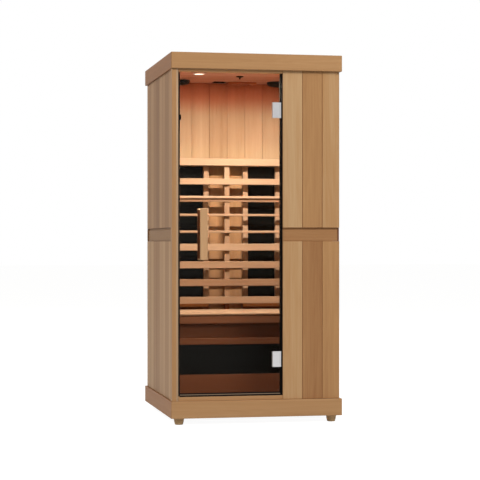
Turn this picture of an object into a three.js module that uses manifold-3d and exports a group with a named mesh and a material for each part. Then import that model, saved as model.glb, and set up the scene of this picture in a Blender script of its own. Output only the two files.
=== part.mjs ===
// Infrared sauna cabin for one person, in millimetres, +Z up, with its glass door to the front (-Y).
// The origin is on the ground, under the middle of the whole outline, handle included.
import * as THREE from 'three';
import { mergeVertices } from 'three/addons/utils/BufferGeometryUtils.js';
import Module from 'manifold-3d';

const wasm = await Module();
wasm.setup();

// Outline
const cabinWidth = 920;
const cabinDepth = 970;
const cabinHeight = 1950;
const trimThickness = 15; // the cornice boards, and the overhang of cornice and plinth
const fit = 0.3; // clearance between neighbouring pieces

// Base
const footHeight = 35;
const footTopRadius = 29;
const footBottomRadius = 21;
const footMargin = 19; // from the plinth's outer faces to the foot's edge
const backFootMargin = 55; // the same at the sides, for the back pair
const plinthHeight = 89;
const plinthThickness = 80;
const deckThickness = 24;
const deckLedge = 20;

// Walls
const boardThickness = 28;
const liningThickness = 12;
const boardWidth = 108;
const liningWidth = 105;
const grooveWidth = 5;
const grooveDepth = 3;
const railHeight = 70;
const railDrop = 5.5; // of the rail's middle below the middle of the wall
const railRecess = 6;
const railThickness = 10;

// Roof
const corniceHeight = 85;
const ceilingReveal = 18; // from the cornice's lower edge up to the ceiling
const ceilingThickness = 24;
const roofCoverThickness = 6;
const ventLength = 76;
const ventDepth = 90;
const ventMiddleX = -42;
const ventFromBack = 56; // from the back lining to the vent's middle
const shutterMargin = 5;
const shutterThickness = 10;
const shutterTravel = 80;
const pegRadius = 4;
const pegHeadRadius = 9;
const pegHeadThickness = 4;
const knobRadius = 7;
const knobHeight = 9;
const lightLength = 680; // of the light strip behind the header
const lightWidth = 24;
const lightHeight = 14;
const lightX = 50;
const lampRadius = 36;
const lampDrop = 5;
const neckMargin = 4; // left of the ceiling above the lamp, sensor and speakers
const lampX = -238;
const lampY = -60;
const sensorRadius = 21;
const sensorDrop = 18;
const sensorPlate = 4;
const sensorX = 7;
const sensorY = 20;
const speakerRadius = 68;
const speakerDrop = 28;
const speakerX = 294;
const speakerY = 310;
const supplyWidth = 200;
const supplyDepth = 150;
const supplyHeight = 28;
const supplyRound = 8;
const inletWidth = 58;
const inletHeight = 40;
const inletBody = 22; // depth of the inlet's body in the back boards
const inletX = 300;
const inletFromTop = 183; // from the top of the wall to the inlet's middle
const inletRim = 5; // flange round the inlet's body
const inletFlange = 4;
const inletWall = 4;
const inletCheek = 6;

// Door
const openingWidth = 560;
const postWidth = 34;
const postProud = 10; // of the left wall
const postStep = 5; // of the front
const postChamfer = 10;
const headerDrop = 15; // below the cornice
const sillHeight = 22;
const glassThickness = 8;
const glassSetback = 4;
const latchGap = 8;
const hingeGap = 13;
const topGap = 4;
const bottomGap = 5;
const hingeHeight = 82;
const hingeFromTop = 195; // from the top of the opening to the upper hinge's middle
const hingeFromBottom = 192;
const pinInset = 10.5; // from the jamb to the hinge pin
const pinRadius = 2.5;
const knuckleRadius = 5;
const earHeight = 14;
const leafDepth = 32;
const clampWidth = 33;
const clampPlate = 6;
const clampClear = 12; // from the pin to the clamp's plates, so that they pass the jamb
const clampWeb = 6;
const clampWebThickness = 6;
const leafClear = 0.5; // from the knuckle to the leaf
const leafLead = 6; // of the leaf in front of the pin
const handleWidth = 40;
const handleLength = 271;
const handleThickness = 20;
const handleStandoff = 20; // of the outer handle from the glass
const innerStandoff = 32;
const handleFromLatch = 123.5; // from the glass's free edge to the handle's middle
const handleFootRadius = 9;
const handleFootSpacing = 190;
const handleRound = 6;
const studRadius = 5;
const studGrip = 12;
const sealWidth = 12;
const sealDepth = 12;
const sealClear = 3; // from the hinge knuckles to the seal
const catchWidth = 18;
const catchDepth = 17;
const catchHeight = 27;
const catchFromTop = 239; // from the top of the opening to the catch's middle

// Bench
const seatHeight = 445; // above the deck
const seatDepth = 480;
const seatThickness = 20;
const seatBoards = 4;
const seatGap = 8;
const apronHeight = 41;
const apronThickness = 12;
const cleatHeight = 18;
const cleatWidth = 40;
const apronSetback = 3;
const seatRound = 5;
const ledgerHeight = 40;
const ledgerDepth = 22;
const frontSetback = 28;
const frontThickness = 20;
const frontTrim = 18; // how far the kick board and the rail stand proud of the front panel
const kickHeight = 102;
const calfHeaterHeight = 166;
const benchRailHeight = 34;
const heaterThickness = 14;
const calfHeaterMargin = 17;

// Backrest
const guardGap = 90; // from the back lining to the slats' front
const guardMargin = 15; // from the side linings to the slats' ends
const slatThickness = 18;
const slatHeight = 40;
const lumbarSlatHeight = 14;
const lowerSlats = 4;
const backrestHeight = 829; // from the seat to the top rail
const lowestSlatHeight = 53; // of the lowest slat's middle above the seat
const lowerPitch = 102;
const highestSlatDepth = 90; // of the highest slat's middle below the top rail
const upperPitch = 97;
const slatRound = 3;
const steppedSlatHeight = 34; // the second slat from the top, whose lower part stands back
const stepDepth = 12;
const stepHeight = 20;
const battenWidth = 30;
const battenDepth = 20;
const stileWidth = 30;
const stileDepth = 36;
const innerStileX = 116;
const outerStileX = 310;
const frameRailHeight = 30;
const topRailHeight = 42;
const topRailChamfer = 3;

// Control panel, on the inside of the front panel
const controlWidth = 150;
const controlHeight = 95;
const controlDepth = 16;
const controlRise = 182; // of the panel's middle above the wall rail's middle
const controlMargin = 12;
const controlRound = 3;
const displayHeight = 40;
const displayRecess = 1;
const buttonRadius = 8;
const buttonPitch = 32;
const buttonProud = 3;
const buttonTravel = 2;
const buttonSeat = 5; // how much of a button sits in its pocket

// Planes that several pieces share
const halfWidth = cabinWidth / 2;
const halfDepth = cabinDepth / 2;
const wallX = halfWidth - trimThickness;
const wallY = halfDepth - trimThickness;
const innerX = wallX - boardThickness - liningThickness;
const innerY = wallY - boardThickness - liningThickness;
const floorTop = footHeight + plinthHeight;
const corniceBottom = cabinHeight - corniceHeight;
const wallTop = corniceBottom + ceilingReveal;
const openingLeft = -wallX - postProud + postWidth;
const openingRight = openingLeft + openingWidth;
const openingTop = corniceBottom - headerDrop;
const openingBottom = floorTop + sillHeight;
const railMiddle = (floorTop + wallTop) / 2 - railDrop;
const railBottom = railMiddle - railHeight / 2;
const railTop = railMiddle + railHeight / 2;
const hingeUpperZ = openingTop - hingeFromTop;
const hingeLowerZ = openingBottom + hingeFromBottom;
const catchZ = openingTop - catchFromTop;
const inletZ = wallTop - inletFromTop;
const glassLeft = openingLeft + latchGap;
const glassRight = openingRight - hingeGap;
const glassFront = -wallY + glassSetback;
const glassBack = glassFront + glassThickness;
const pinX = openingRight - pinInset;
const pinY = (glassFront + glassBack) / 2;
const seatTop = floorTop + seatHeight;
const seatBottom = seatTop - seatThickness;
const seatFront = innerY - seatDepth;
const frontFace = seatFront + frontSetback;
const guardFront = innerY - guardGap;
const topRailBottom = seatTop + backrestHeight;
const topRailTop = topRailBottom + topRailHeight;
const handleReach = -glassFront + handleStandoff + handleThickness;

const finishes = {
  trim: { color: 0xaa8258, roughness: 0.5, metalness: 0 },
  board: { color: 0xb48e63, roughness: 0.5, metalness: 0 },
  rail: { color: 0xa8835a, roughness: 0.5, metalness: 0 },
  lining: { color: 0xc4935f, roughness: 0.55, metalness: 0 },
  bench: { color: 0xc08a58, roughness: 0.5, metalness: 0 },
  handle: { color: 0xc79a63, roughness: 0.45, metalness: 0 },
  foot: { color: 0x7d6955, roughness: 0.6, metalness: 0 },
  cover: { color: 0x9a8468, roughness: 0.7, metalness: 0 },
  heater: { color: 0x121110, roughness: 0.45, metalness: 0 },
  plastic: { color: 0x1a1918, roughness: 0.4, metalness: 0 },
  rubber: { color: 0x141312, roughness: 0.7, metalness: 0 },
  steel: { color: 0xd2cdd0, roughness: 0.3, metalness: 0.9 },
  glass: { color: 0xe8dccb, roughness: 0.04, metalness: 0, transparent: true, opacity: 0.2 },
  lamp: { color: 0xfff3dc, roughness: 0.4, metalness: 0 },
  button: { color: 0xcfcac2, roughness: 0.4, metalness: 0 },
};

const root = new THREE.Group();
root.name = 'sauna_cabin';

const cabin = new THREE.Group();
cabin.position.y = (Math.max(handleReach, halfDepth) - halfDepth) / 2;
root.add(cabin);

function add(name, finish, geometry) {
  const mesh = new THREE.Mesh(geometry, new THREE.MeshStandardMaterial(finishes[finish]));
  mesh.name = name;
  cabin.add(mesh);
}

function box(x0, x1, y0, y1, z0, z1) {
  const block = new THREE.BoxGeometry(x1 - x0, y1 - y0, z1 - z0);
  return block.translate((x0 + x1) / 2, (y0 + y1) / 2, (z0 + z1) / 2);
}

// A plan outline of [x, y] points, stood up from z0 to z1
function prism(outline, z0, z1) {
  const shape = new THREE.Shape(outline.map(([x, y]) => new THREE.Vector2(x, y)));
  return new THREE.ExtrudeGeometry(shape, { depth: z1 - z0, bevelEnabled: false }).translate(0, 0, z0);
}

// A section of [y, z] points, run along X from x0 to x1
function bar(section, x0, x1) {
  const alongX = new THREE.Matrix4().set(0, 0, 1, 0, 1, 0, 0, 0, 0, 1, 0, 0, 0, 0, 0, 1);
  return prism(section, x0, x1).applyMatrix4(alongX);
}

function rounded(a0, a1, b0, b1, radius, steps = 4) {
  const corners = [[a1, b1, 0], [a0, b1, 1], [a0, b0, 2], [a1, b0, 3]];
  return corners.flatMap(([a, b, quarter]) => {
    const middleA = a === a1 ? a1 - radius : a0 + radius;
    const middleB = b === b1 ? b1 - radius : b0 + radius;
    return Array.from({ length: steps + 1 }, (_, step) => {
      const angle = ((quarter + step / steps) * Math.PI) / 2;
      return [middleA + radius * Math.cos(angle), middleB + radius * Math.sin(angle)];
    });
  });
}

// A profile of [radius, z] points from bottom to top, turned about the vertical at x, y
function turned(profile, x, y, segments = 32) {
  const points = profile.map(([radius, z]) => new THREE.Vector2(radius, z));
  return new THREE.LatheGeometry(points, segments).rotateX(Math.PI / 2).translate(x, y, 0);
}

function post(radius, x, y, z0, z1, segments = 24) {
  return turned([[0, z0], [radius, z0], [radius, z1], [0, z1]], x, y, segments);
}

function peg(radius, x, y0, y1, z, segments = 24) {
  return new THREE.CylinderGeometry(radius, radius, y1 - y0, segments).translate(x, (y0 + y1) / 2, z);
}

function solid(geometry) {
  const bare = geometry.clone();
  bare.deleteAttribute('normal');
  bare.deleteAttribute('uv');
  const merged = mergeVertices(bare, 1e-4);
  const triangles = [];
  for (let i = 0; i < merged.index.count; i += 3) {
    const corners = [0, 1, 2].map((k) => merged.index.getX(i + k));
    if (new Set(corners).size === 3) triangles.push(...corners);
  }
  return new wasm.Manifold(new wasm.Mesh({
    numProp: 3,
    vertProperties: new Float32Array(merged.attributes.position.array),
    triVerts: new Uint32Array(triangles),
  }));
}

function surface(body) {
  const mesh = body.getMesh();
  const geometry = new THREE.BufferGeometry();
  geometry.setAttribute('position', new THREE.BufferAttribute(mesh.vertProperties, 3));
  geometry.setIndex(new THREE.BufferAttribute(mesh.triVerts, 1));
  geometry.computeVertexNormals();
  return geometry;
}

function join(...pieces) {
  return surface(pieces.map(solid).reduce((whole, piece) => whole.add(piece)));
}

function cut(piece, ...tools) {
  return surface(tools.map(solid).reduce((rest, tool) => rest.subtract(tool), solid(piece)));
}

// Where a point u along a wall and v into the wall lies in plan, from its outer or its inner face
const outerFace = {
  left: (u, v) => [-wallX + v, u],
  right: (u, v) => [wallX - v, u],
  front: (u, v) => [u, -wallY + v],
  back: (u, v) => [u, wallY - v],
};
const innerFace = {
  left: (u, v) => [-innerX - v, u],
  right: (u, v) => [innerX + v, u],
  front: (u, v) => [u, -innerY - v],
  back: (u, v) => [u, innerY + v],
};

function strip(face, u0, u1, v0, v1, z0, z1) {
  return prism([[u0, v0], [u1, v0], [u1, v1], [u0, v1]].map(([u, v]) => face(u, v)), z0, z1);
}

// Upright boards side by side, with a V-groove at each joint
function boards(face, u0, u1, thickness, width) {
  const outline = [[u0, thickness], [u0, 0]];
  for (let seam = u0 + width; seam < u1 - width / 3; seam += width) {
    outline.push([seam - grooveWidth / 2, 0], [seam, grooveDepth], [seam + grooveWidth / 2, 0]);
  }
  outline.push([u1, 0], [u1, thickness]);
  return prism(outline.map(([u, v]) => face(u, v)), floorTop + fit, wallTop - fit);
}

function railSlot(face, u0, u1) {
  return strip(face, u0 - 1, u1 + 1, -1, railRecess + railThickness + fit, railBottom, railTop);
}

function wallRail(face, u0, u1) {
  const inset = railRecess + railThickness;
  return strip(face, u0, u1, railRecess, inset, railBottom + fit, railTop - fit);
}

// One of four boards of a mitred ring: side is the outline's half size it runs along, away the other one
function mitred(along, away, thickness, z0, z1) {
  return prism([
    [-along + fit, -away],
    [along - fit, -away],
    [along - thickness - fit, -away + thickness],
    [-along + thickness + fit, -away + thickness],
  ], z0, z1);
}

function mitredRing(thickness, z0, z1) {
  return {
    front: mitred(halfWidth, halfDepth, thickness, z0, z1),
    back: mitred(halfWidth, halfDepth, thickness, z0, z1).rotateZ(Math.PI),
    left: mitred(halfDepth, halfWidth, thickness, z0, z1).rotateZ(-Math.PI / 2),
    right: mitred(halfDepth, halfWidth, thickness, z0, z1).rotateZ(Math.PI / 2),
  };
}

function addBase() {
  const deckX = halfWidth - plinthThickness + deckLedge;
  const deckY = halfDepth - plinthThickness + deckLedge;
  const deckBottom = floorTop - deckThickness;
  const recess = box(-deckX, deckX, -deckY, deckY, deckBottom, floorTop + 1);
  for (const [side, board] of Object.entries(mitredRing(plinthThickness, footHeight, floorTop))) {
    add(`plinth_${side}`, 'trim', cut(board, recess));
  }
  const deck = box(-deckX + fit, deckX - fit, -deckY + fit, deckY - fit, deckBottom + fit, floorTop);
  add('floor_deck', 'lining', deck);

  const flat = footHeight - fit;
  const profile = [[0, 0], [footBottomRadius, 0], [footTopRadius, flat], [0, flat]];
  const footY = halfDepth - footMargin - footTopRadius;
  for (const [end, y, margin] of [['front', -footY, footMargin], ['back', footY, backFootMargin]]) {
    const footX = halfWidth - margin - footTopRadius;
    add(`foot_${end}_left`, 'foot', turned(profile, -footX, y));
    add(`foot_${end}_right`, 'foot', turned(profile, footX, y));
  }
}

function addWalls() {
  const cornerY = wallY - boardThickness - fit;
  const cornerX = wallX - boardThickness - fit;
  const sideWalls = [['left', -innerY + fit, -innerY + fit], ['right', -cornerY, -cornerY]];
  const liningDepth = liningThickness - fit;
  for (const [side, u0, liningStart] of sideWalls) {
    const face = outerFace[side];
    const skin = boards(face, u0, wallY, boardThickness, boardWidth);
    add(`${side}_wall_boards`, 'board', cut(skin, railSlot(face, u0, wallY)));
    add(`${side}_wall_rail`, 'rail', wallRail(face, u0, wallY));
    const lining = boards(innerFace[side], liningStart, cornerY, liningDepth, liningWidth);
    add(`${side}_wall_lining`, 'lining', lining);
  }

  const pocketX = inletWidth / 2 - inletRim;
  const pocketZ = inletHeight / 2 - inletRim;
  const inletPocket = box(
    inletX - pocketX, inletX + pocketX, wallY - inletBody - fit, wallY + 1,
    inletZ - pocketZ, inletZ + pocketZ,
  );
  const backSkin = boards(outerFace.back, -cornerX, cornerX, boardThickness, boardWidth);
  add('back_wall_boards', 'board', cut(backSkin, inletPocket));
  const ledger = strip(
    innerFace.back, -innerX + fit, innerX - fit, -ledgerDepth, 1,
    seatBottom - fit - ledgerHeight, seatBottom - fit,
  );
  const backLining = boards(innerFace.back, -innerX + fit, innerX - fit, liningDepth, liningWidth);
  add('back_wall_lining', 'lining', join(backLining, ledger));

  const frontSkin = boards(outerFace.front, openingRight, wallX, boardThickness, boardWidth);
  const cornerNotch = box(wallX - railRecess, wallX + 1, -wallY - 1, wallY, railBottom, railTop);
  const frontSlot = railSlot(outerFace.front, openingRight, wallX);
  add('front_panel_boards', 'board', cut(frontSkin, frontSlot, cornerNotch));
  add('front_panel_rail', 'rail', wallRail(outerFace.front, openingRight, wallX - railRecess));
  const frontLining = boards(innerFace.front, openingRight, innerX - fit, liningDepth, liningWidth);
  add('front_panel_lining', 'lining', frontLining);
}

function addDoorFrame() {
  const outside = -wallX - postProud;
  const front = -wallY - postStep;
  const face = prism([
    [outside, -innerY],
    [outside, front],
    [openingLeft - postChamfer, front],
    [openingLeft, front + postChamfer / 3],
    [openingLeft, -innerY],
  ], floorTop + fit, corniceBottom - fit);
  const core = box(-wallX, openingLeft, -wallY, -innerY, corniceBottom - 2, wallTop - fit);
  add('door_post', 'trim', join(face, core));
  const crossbar = (z0, z1) => box(openingLeft + fit, openingRight - fit, -wallY, -innerY, z0, z1);
  add('door_header', 'trim', crossbar(openingTop, wallTop - fit));
  add('door_sill', 'trim', crossbar(floorTop + fit, openingBottom));
  const block = box(
    openingLeft + fit, openingLeft + catchWidth, glassBack + fit, glassBack + catchDepth,
    catchZ - catchHeight / 2, catchZ + catchHeight / 2,
  );
  add('door_catch', 'plastic', block);
}

function addRoof() {
  for (const [side, board] of Object.entries(mitredRing(trimThickness - fit, corniceBottom, cabinHeight))) {
    add(`cornice_${side}`, 'trim', board);
  }

  const ventY = innerY - ventFromBack;
  const ventLeft = ventMiddleX - ventLength / 2;
  const ventRight = ventMiddleX + ventLength / 2;
  const vent = box(
    ventLeft, ventRight, ventY - ventDepth / 2, ventY + ventDepth / 2,
    wallTop - 1, wallTop + ceilingThickness + roofCoverThickness + fit + 1,
  );
  const shutterLeft = ventRight + shutterMargin;
  const shutterRight = shutterLeft + ventLength + shutterTravel + 2 * shutterMargin;
  const shutterTop = wallTop - fit;
  const shutterBottom = shutterTop - shutterThickness;
  const shutterHalf = ventDepth / 2 + shutterMargin;
  const pegX = shutterLeft + 4 * pegRadius;
  const pegSpread = ventDepth / 3;
  const slotHalf = pegRadius + fit;
  const pegs = [-pegSpread, pegSpread].map((dy) => turned([
    [0, shutterBottom - fit - pegHeadThickness],
    [pegHeadRadius, shutterBottom - fit - pegHeadThickness],
    [pegHeadRadius, shutterBottom - fit],
    [pegRadius, shutterBottom - fit],
    [pegRadius, wallTop + 1],
    [0, wallTop + 1],
  ], pegX, ventY + dy));
  const slots = [-pegSpread, pegSpread].map((dy) => prism(
    rounded(
      pegX - slotHalf, pegX + shutterTravel + slotHalf, ventY + dy - slotHalf, ventY + dy + slotHalf,
      slotHalf * 0.99,
    ),
    shutterBottom - 1, shutterTop + 1,
  ));

  const lampNeck = lampRadius * 0.75;
  const speakerNeck = speakerRadius * 0.8;
  const sensorNeck = sensorRadius * 0.3;
  const neckTop = wallTop + ceilingThickness - neckMargin;
  const speakers = [['left', -speakerX], ['right', speakerX]];
  const sockets = [
    post(lampNeck + fit, lampX, lampY, wallTop - 1, neckTop + fit, 48),
    post(sensorNeck + fit, sensorX, sensorY, wallTop - 1, neckTop + fit),
    ...speakers.map(([, x]) => post(speakerNeck + fit, x, speakerY, wallTop - 1, neckTop + fit, 48)),
  ];
  const slab = box(-wallX, wallX, -wallY, wallY, wallTop, wallTop + ceilingThickness);
  const ceiling = cut(slab, vent, ...sockets);
  add('ceiling_panel', 'lining', join(ceiling, ...pegs));
  const coverBottom = wallTop + ceilingThickness + fit;
  const coverTop = coverBottom + roofCoverThickness;
  add('roof_cover', 'cover', cut(box(-wallX, wallX, -wallY, wallY, coverBottom, coverTop), vent));

  const shutter = box(
    shutterLeft, shutterRight, ventY - shutterHalf, ventY + shutterHalf, shutterBottom, shutterTop,
  );
  const knobX = (shutterRight + pegX + shutterTravel) / 2;
  const knob = post(knobRadius, knobX, ventY, shutterBottom - knobHeight, shutterBottom + 1);
  add('vent_shutter', 'bench', join(cut(shutter, ...slots), knob));

  const under = wallTop - fit;
  add('light_strip', 'lamp', box(
    lightX - lightLength / 2, lightX + lightLength / 2, -innerY + fit, -innerY + lightWidth,
    under - lightHeight, under,
  ));
  add('ceiling_lamp', 'lamp', turned([
    [0, under - lampDrop],
    [lampRadius * 0.9, under - lampDrop],
    [lampRadius, under - lampDrop * 0.4],
    [lampRadius, under],
    [lampNeck, under],
    [lampNeck, neckTop],
    [0, neckTop],
  ], lampX, lampY, 48));
  add('temperature_sensor', 'plastic', turned([
    [0, under - sensorDrop],
    [sensorRadius * 0.2, under - sensorDrop],
    [sensorRadius * 0.3, under - sensorPlate * 1.5],
    [sensorRadius, under - sensorPlate],
    [sensorRadius, under],
    [sensorNeck, under],
    [sensorNeck, neckTop],
    [0, neckTop],
  ], sensorX, sensorY));
  for (const [side, x] of speakers) {
    add(`speaker_${side}`, 'plastic', turned([
      [0, under - speakerDrop],
      [speakerRadius * 0.5, under - speakerDrop],
      [speakerRadius * 0.8, under - speakerDrop * 0.86],
      [speakerRadius * 0.96, under - speakerDrop * 0.5],
      [speakerRadius, under - speakerDrop * 0.15],
      [speakerRadius, under],
      [speakerNeck, under],
      [speakerNeck, neckTop],
      [0, neckTop],
    ], x, speakerY, 48));
  }

  const supplyBase = coverTop + fit;
  const supplyX = wallX / 2;
  const supply = rounded(
    supplyX - supplyWidth / 2, supplyX + supplyWidth / 2, -supplyDepth / 2, supplyDepth / 2, supplyRound,
  );
  add('power_supply', 'plastic', prism(supply, supplyBase, supplyBase + supplyHeight));

  const flange = box(
    inletX - inletWidth / 2, inletX + inletWidth / 2, wallY + fit, wallY + inletFlange,
    inletZ - inletHeight / 2, inletZ + inletHeight / 2,
  );
  const bodyX = inletWidth / 2 - inletRim - fit;
  const bodyZ = inletHeight / 2 - inletRim - fit;
  const core = box(
    inletX - bodyX, inletX + bodyX, wallY - inletBody, wallY + inletFlange / 2,
    inletZ - bodyZ, inletZ + bodyZ,
  );
  const socket = box(
    inletX - bodyX + inletCheek, inletX + bodyX - inletCheek,
    wallY - inletBody + inletWall, wallY + inletFlange + 1,
    inletZ - bodyZ + inletWall, inletZ + bodyZ - inletWall,
  );
  add('power_inlet', 'plastic', cut(join(flange, core), socket));
}

function addHinge(level, z) {
  const half = hingeHeight / 2;
  const knuckleHalf = half - earHeight;
  const leafLeft = pinX + knuckleRadius + leafClear;
  const leafFront = pinY - leafLead;
  const plate = box(leafLeft, openingRight - fit, leafFront, leafFront + leafDepth, z - half, z + half);
  const earLeft = pinX - clampClear + fit;
  const earHalf = glassThickness / 2;
  const ears = [[z - half, z - knuckleHalf], [z + knuckleHalf, z + half]].flatMap(([bottom, top]) => [
    post(knuckleRadius, pinX, pinY, bottom, top),
    box(earLeft, leafLeft + 1, pinY - earHalf, pinY + earHalf, bottom, top),
  ]);
  const pin = post(pinRadius, pinX, pinY, z - half + 1, z + half - 1);
  add(`hinge_${level}_leaf`, 'steel', join(plate, ...ears, pin));

  const knuckleTop = knuckleHalf - 2 * fit;
  const plateInner = glassThickness / 2 + fit;
  const plateOuter = plateInner + clampPlate;
  const blockLeft = pinX - clampClear - clampWeb;
  const plateLeft = pinX - clampClear - clampWidth;
  const knuckle = post(knuckleRadius, pinX, pinY, z - knuckleTop, z + knuckleTop);
  const webHalf = clampWebThickness / 2;
  const web = box(
    blockLeft, pinX - pinRadius, pinY - webHalf, pinY + webHalf, z - knuckleTop, z + knuckleTop,
  );
  const block = box(
    blockLeft, pinX - clampClear, pinY - plateInner - 1, pinY + plateInner + 1,
    z - knuckleTop, z + knuckleTop,
  );
  const plates = [-1, 1].map((side) => {
    const near = Math.min(side * plateInner, side * plateOuter);
    const far = Math.max(side * plateInner, side * plateOuter);
    const outline = rounded(plateLeft, pinX - clampClear, pinY + near, pinY + far, 1.5, 2);
    return prism(outline, z - half, z + half);
  });
  const bore = post(pinRadius + fit, pinX, pinY, z - half, z + half);
  add(`hinge_${level}_clamp`, 'steel', cut(join(knuckle, web, block, ...plates), bore));
}

function addDoor() {
  const handleX = glassLeft + handleFromLatch;
  const footZ = [railMiddle - handleFootSpacing / 2, railMiddle + handleFootSpacing / 2];
  const pane = box(
    glassLeft, glassRight, glassFront, glassBack, openingBottom + bottomGap, openingTop - topGap,
  );
  const notches = [hingeUpperZ, hingeLowerZ].map((z) => box(
    pinX - clampClear - clampWeb - fit, glassRight + 1, glassFront - 1, glassBack + 1,
    z - hingeHeight / 2 - 1, z + hingeHeight / 2 + 1,
  ));
  const holes = footZ.map((z) => peg(studRadius + 1, handleX, glassFront - 1, glassBack + 1, z));
  add('door_glass', 'glass', cut(pane, ...notches, ...holes));
  addHinge('upper', hingeUpperZ);
  addHinge('lower', hingeLowerZ);

  const left = handleX - handleWidth / 2;
  const right = handleX + handleWidth / 2;
  const bottom = railMiddle - handleLength / 2;
  const top = railMiddle + handleLength / 2;
  const outerFront = glassFront - handleStandoff - handleThickness;
  const outerBack = glassFront - handleStandoff;
  const outerBar = prism(rounded(left, right, outerFront, outerBack, handleRound), bottom, top);
  const outerFeet = footZ.map((z) => peg(handleFootRadius, handleX, outerBack - 2, glassFront - fit, z));
  const studs = footZ.map((z) => peg(studRadius, handleX, outerBack - 2, glassBack + studGrip, z));
  add('handle_outer', 'handle', join(outerBar, ...outerFeet, ...studs));

  const innerFront = glassBack + innerStandoff;
  const innerBack = innerFront + handleThickness;
  const innerBar = prism(rounded(left, right, innerFront, innerBack, handleRound), bottom, top);
  const innerFeet = footZ.map((z) => peg(handleFootRadius, handleX, glassBack + fit, innerFront + 2, z));
  const boreEnd = glassBack + studGrip + fit;
  const bores = footZ.map((z) => peg(studRadius + fit, handleX, glassBack - 1, boreEnd, z));
  add('handle_inner', 'handle', cut(join(innerBar, ...innerFeet), ...bores));

  const sealFront = pinY + knuckleRadius + sealClear + fit;
  const sealLeft = openingRight - sealWidth;
  const sealBack = sealFront + sealDepth;
  const gasket = box(
    sealLeft, openingRight - fit, sealFront, sealBack, openingBottom + fit, openingTop - fit,
  );
  const gaps = [hingeUpperZ, hingeLowerZ].map((z) => box(
    pinX + knuckleRadius + leafClear - fit, openingRight, sealFront - 1, sealBack + 1,
    z - hingeHeight / 2 - fit, z + hingeHeight / 2 + fit,
  ));
  add('door_seal', 'rubber', cut(gasket, ...gaps));
}

function addBench() {
  const end = innerX - fit;
  const boardDepth = (seatDepth - fit - (seatBoards - 1) * seatGap) / seatBoards;
  const slats = Array.from({ length: seatBoards }, (_, index) => {
    const y = seatFront + index * (boardDepth + seatGap);
    return bar(rounded(y, y + boardDepth, seatBottom, seatTop, seatRound), -end, end);
  });
  const cleatFront = frontFace + frontThickness + fit;
  const cleatBack = innerY - ledgerDepth - fit;
  const cleats = [-innerX * 0.7, 0, innerX * 0.7].map((x) => box(
    x - cleatWidth / 2, x + cleatWidth / 2, cleatFront, cleatBack, seatBottom - cleatHeight, seatBottom + 2,
  ));
  const apronFront = seatFront + apronSetback;
  const apronBack = apronFront + apronThickness;
  const apron = box(-end, end, apronFront, apronBack, seatBottom - apronHeight, seatBottom + 2);
  add('bench_seat', 'bench', join(...slats, ...cleats, apron));

  const kickTop = floorTop + kickHeight;
  const heaterTop = kickTop + calfHeaterHeight;
  const sheet = box(-end, end, frontFace, frontFace + frontThickness, floorTop + fit, seatBottom - fit);
  const kick = box(-end, end, frontFace - frontTrim, frontFace + 1, floorTop + fit, kickTop);
  const rail = box(-end, end, frontFace - frontTrim, frontFace + 1, heaterTop, heaterTop + benchRailHeight);
  add('bench_front_panel', 'bench', join(sheet, kick, rail));
  const heaterX = innerX - calfHeaterMargin;
  const heaterFace = frontFace - heaterThickness;
  const heater = box(-heaterX, heaterX, heaterFace, frontFace - fit, kickTop + fit, heaterTop - fit);
  add('calf_heater', 'heater', heater);
}

function addBackrest() {
  const guardEnd = innerX - guardMargin;
  const slat = (middle, height) => bar(
    rounded(guardFront, guardFront + slatThickness, middle - height / 2, middle + height / 2, slatRound, 3),
    -guardEnd, guardEnd,
  );
  const lowestSlat = seatTop + lowestSlatHeight;
  const highestSlat = topRailBottom - highestSlatDepth;
  const counting = Array.from({ length: lowerSlats }, (_, index) => index);
  const lower = counting.map((index) => slat(lowestSlat + index * lowerPitch, slatHeight));
  const upperHeights = [slatHeight, steppedSlatHeight, lumbarSlatHeight, lumbarSlatHeight];
  const upper = upperHeights.map((height, index) => slat(highestSlat - index * upperPitch, height));
  const stepBottom = highestSlat - upperPitch - steppedSlatHeight / 2;
  const step = box(
    -guardEnd - 1, guardEnd + 1, guardFront - 1, guardFront + stepDepth,
    stepBottom - 1, stepBottom + stepHeight,
  );
  const battenFront = guardFront + slatThickness - 1;
  const battens = [-guardEnd + battenWidth / 2, 0, guardEnd - battenWidth / 2].map((x) => box(
    x - battenWidth / 2, x + battenWidth / 2, battenFront, battenFront + battenDepth,
    seatTop + fit, topRailBottom - fit,
  ));
  add('backrest_guard', 'bench', cut(join(...lower, ...upper, ...battens), step));

  add('heater_top_rail', 'bench', bar([
    [guardFront + topRailChamfer, topRailBottom],
    [innerY - fit, topRailBottom],
    [innerY - fit, topRailTop],
    [guardFront + topRailChamfer, topRailTop],
    [guardFront, topRailTop - topRailChamfer],
    [guardFront, topRailBottom + topRailChamfer],
  ], -innerX + fit, innerX - fit));

  const frameBottom = seatTop + fit;
  const frameTop = topRailBottom - fit;
  for (const [side, sign] of [['left', -1], ['right', 1]]) {
    const stiles = [innerStileX, outerStileX].map((x) => box(
      sign * x - stileWidth / 2, sign * x + stileWidth / 2, innerY - stileDepth, innerY - fit,
      frameBottom, frameTop,
    ));
    const middle = (sign * (innerStileX + outerStileX)) / 2;
    const half = (outerStileX - innerStileX) / 2;
    const foot = box(
      middle - half, middle + half, innerY - stileDepth, innerY - fit,
      frameBottom, frameBottom + frameRailHeight,
    );
    add(`heater_frame_${side}`, 'bench', join(...stiles, foot));
    const bay = half - stileWidth / 2 - fit;
    add(`back_heater_${side}`, 'heater', box(
      middle - bay, middle + bay, innerY - fit - heaterThickness, innerY - fit,
      frameBottom + frameRailHeight + fit, frameTop,
    ));
  }
}

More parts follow.
